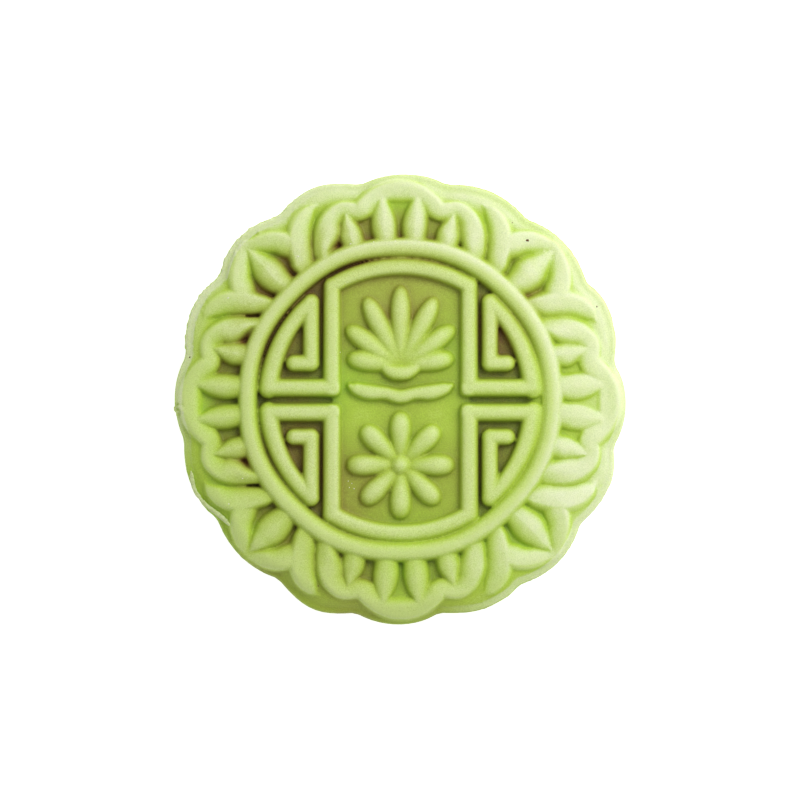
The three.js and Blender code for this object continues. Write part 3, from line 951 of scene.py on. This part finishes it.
def grainyMaterial(name):
    g = {**fineGrain, **grainy[name]}
    material = emptyMaterial(name)
    tree = material.node_tree
    place = addNode(tree, 'ShaderNodeTexCoord').outputs['Object']
    fine = addNode(tree, 'ShaderNodeTexNoise', {'Scale': 1 / (g["size"] * toMetres), 'Detail': g["detail"]},
                   {'Vector': place}).outputs['Fac']
    ramp = addNode(tree, 'ShaderNodeValToRGB', links={'Fac': fine})
    fillRamp(ramp, [[g["darkTo"], g["dark"]], [g["lightFrom"], g["light"]]])
    shader = addNode(tree, 'ShaderNodeBsdfPrincipled', {'Roughness': g["roughness"], 'IOR': g["bending"]},
                     {'Base Color': ramp.outputs['Color'], 'Normal': bumped(tree, fine, *g["bump"])})
    addNode(tree, 'ShaderNodeOutputMaterial', links={'Surface': shader.outputs['BSDF']})
    return material


# What lies on the cake: specks of bran and crumbs of flour, at [x, y, length, degrees], each a rough pebble
specks = {"name": "branSpecks", "flat": 0.4,
          "places": [[21.9, 27.5, 0.6, -15], [33.9, 16.1, 0.32, 80], [19.3, 30.6, 0.22, 0],
                     [-36.4, 7.4, 0.36, 60], [-14.2, -32.1, 0.26, 110], [15.0, -5.0, 0.22, 30]]}
crumbs = {"name": "flourCrumbs", "flat": 0.5,
          "places": [[-9.0, -14.0, 0.22, 0], [-8.4, -14.4, 0.18, 50], [-8.8, -15.1, 0.2, 100],
                     [-8.0, -15.3, 0.26, 20], [-8.6, 26.9, 0.3, 15], [-4.6, 27.2, 0.28, 170],
                     [-0.9, 27.3, 0.3, 60], [3.2, 27.2, 0.24, 5], [-17.6, 24.7, 0.38, 140],
                     [-10.4, 8.2, 0.24, 70], [-29.7, 17.6, 0.34, 30], [-29.6, -17.9, 0.32, 60],
                     [-27.2, -13.5, 0.28, 20]]}
pebble = {"steps": 3, "rough": 0.35, "fine": 3, "narrow": 0.66, "sunk": 0.1}


def scatter(tree, kind):
    p, flat = pebble, kind["flat"]
    grains = []
    for place, (x, y, length, degrees) in enumerate(kind["places"]):
        bpy.ops.mesh.primitive_ico_sphere_add(subdivisions=p["steps"], radius=length / 2)
        one = bpy.context.object
        for vertex in one.data.vertices:
            # each of them is rough in its own way
            vertex.co *= 1 + p["rough"] * noise.noise(vertex.co / length * p["fine"] + Vector((place, 0, 0)))
        one.scale = (1, p["narrow"], flat)
        one.rotation_euler = (0, 0, math.radians(degrees))
        one.location = (x, y, topAt(tree, x, y) - p["sunk"] * length * flat)
        bpy.ops.object.transform_apply(location=True, rotation=True, scale=True)
        grains.append(one)
    whole = joined(grains, kind["name"])
    bringDown(whole)
    return whole


# A thin flash of dough pressed out at the mould's edge, along [x, y, half width]. It lies as high as the
# lip a little further in, is pressed flat about its own line, and frayed.
flash = {"points": [[-36.2, -12.2, 0.12], [-36.1, -13.0, 0.34], [-36.05, -13.8, 0.42], [-35.7, -15.3, 0.36],
                    [-34.65, -17.0, 0.32], [-33.25, -18.45, 0.34], [-31.75, -19.55, 0.42],
                    [-30.6, -20.5, 0.42], [-29.5, -21.6, 0.24]],
         "rest": 0.8, "proud": 0.06, "thick": 0.5, "wander": 0.1, "fray": 1.6, "apart": 9,
         "roundness": 4, "voxel": 0.05, "soft": 0.5, "soften": 3}


def makeFlash(tree):
    f = flash
    points = []
    for x, y, half in f["points"]:
        rest = 1 - f["rest"] / math.hypot(x, y)
        points.append((x, y, topAt(tree, x * rest, y * rest) + f["proud"], half))
    bpy.ops.curve.primitive_bezier_curve_add()
    ob = bpy.context.object
    ob.name = "doughFlash"
    spline = ob.data.splines[0]
    spline.bezier_points.add(len(points) - 2)
    for spot, (x, y, z, half) in zip(spline.bezier_points, points):
        spot.co = (x, y, z)
        spot.radius = half
        spot.handle_left_type = spot.handle_right_type = 'AUTO'
    ob.data.dimensions = '3D'
    ob.data.twist_mode = 'Z_UP'
    ob.data.bevel_depth = 1.0
    ob.data.bevel_resolution = f["roundness"]
    ob.data.use_fill_caps = True
    pick(ob)
    bpy.ops.object.convert(target='MESH')
    ob = bpy.context.object
    apart = Vector((f["apart"], 0, 0))
    for vertex in ob.data.vertices:
        near = min(points, key=lambda p: (p[0] - vertex.co.x) ** 2 + (p[1] - vertex.co.y) ** 2)
        vertex.co.z = near[2] + (vertex.co.z - near[2]) * f["thick"]
        at = vertex.co * f["fray"]
        vertex.co += Vector((noise.noise(at), noise.noise(at + apart), 0)) * f["wander"]
    finishWith(ob, 'REMESH', mode='VOXEL', voxel_size=f["voxel"])
    finishWith(ob, 'SMOOTH', factor=f["soft"], iterations=f["soften"])
    bringDown(ob)
    return ob


# A light table of white acrylic, which glows evenly so that the ground stays white, under soft boxes:
# [name, azimuth from +X, elevation, metres away, size, watts]
studio = {"table": 4, "white": 0.9, "roughness": 0.6, "glow": 0.72, "world": 0.45,
          "boxes": [["keyBox", 50, 50, 0.6, 0.30, 1.89], ["sideBox", 15, 45, 0.2, 0.14, 0.05]]}


def makeStudio():
    s = studio
    bpy.ops.mesh.primitive_plane_add(size=s["table"])
    table = bpy.context.object
    table.name = "table"
    material = bpy.data.materials.new("whiteAcrylic")
    material.use_nodes = True
    shader = material.node_tree.nodes['Principled BSDF']
    shader.inputs['Base Color'].default_value = (s["white"],) * 3 + (1,)
    shader.inputs['Roughness'].default_value = s["roughness"]
    shader.inputs['Emission Color'].default_value = (1, 1, 1, 1)
    shader.inputs['Emission Strength'].default_value = s["glow"]
    table.data.materials.append(material)
    world = bpy.data.worlds.new("studio")
    world.use_nodes = True
    world.node_tree.nodes['Background'].inputs['Color'].default_value = (1, 1, 1, 1)
    world.node_tree.nodes['Background'].inputs['Strength'].default_value = s["world"]
    bpy.context.scene.world = world
    for name, azimuth, elevation, distance, size, power in s["boxes"]:
        a, e = math.radians(azimuth), math.radians(elevation)
        away = Vector((math.cos(a) * math.cos(e), math.sin(a) * math.cos(e), math.sin(e)))
        bpy.ops.object.light_add(type='AREA', location=away * distance)
        lamp = bpy.context.object
        lamp.name = name
        lamp.data.size = size
        lamp.data.energy = power
        lamp.rotation_euler = away.to_track_quat('Z', 'Y').to_euler()


# Straight above the cake, in metres, with the sensor's width in millimetres
view = {"topZ": 0.030, "distance": 0.6, "frameWidth": 0.13744, "sensor": 36.0, "offsetX": -0.00009}


def makeCamera():
    v = view
    bpy.ops.object.camera_add(location=(v["offsetX"], 0, v["topZ"] + v["distance"]), rotation=(0, 0, 0))
    camera = bpy.context.object
    camera.data.sensor_width = v["sensor"]
    camera.data.lens = v["sensor"] * v["distance"] / v["frameWidth"]
    bpy.context.scene.camera = camera


makeCamera()
makeStudio()
bpy.context.scene.view_settings.view_transform = 'Standard'
cake = makeCake()
addTints(cake)
cake.data.materials.append(makeDough())
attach(cake, "root")
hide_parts("mooncake")
print("cake done")

tree = treeOf(cake)
for piece, stuff in ((scatter(tree, specks), "riceBran"), (scatter(tree, crumbs), "riceFlour"),
                     (makeFlash(tree), "driedDough")):
    piece.data.materials.append(grainyMaterial(stuff))
    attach(piece, "root")
print("small pieces done")
